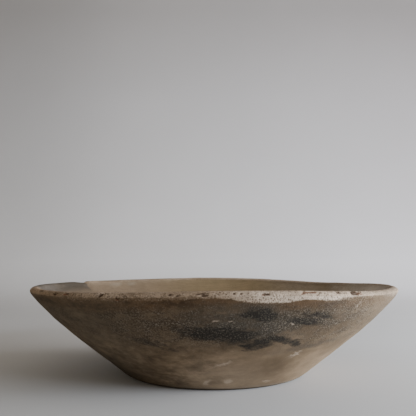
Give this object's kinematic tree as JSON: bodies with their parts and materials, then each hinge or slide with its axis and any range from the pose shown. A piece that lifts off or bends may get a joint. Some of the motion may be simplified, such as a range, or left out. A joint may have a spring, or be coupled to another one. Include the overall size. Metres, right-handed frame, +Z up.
{
  "type": "carved wooden bowl",
  "caption": "Shallow round hand-carved wooden bowl with a flared wall, a bevelled rim and a flat foot, for holding or serving food.",
  "frame": {"origin": "middle of the flat foot, on the surface the bowl stands on", "axes": "+Z up, +X along the wood's grain and the bowl's longest diameter, -Y the front"},
  "size_m": [0.3629, 0.3571, 0.0912],
  "materials": {
    "wood": "worn and smoke-darkened, dry outside, rubbed smooth inside, pale along the rim"
  },
  "bodies": {
    "root": {"bowl": "wood"}
  },
  "joints": []
}
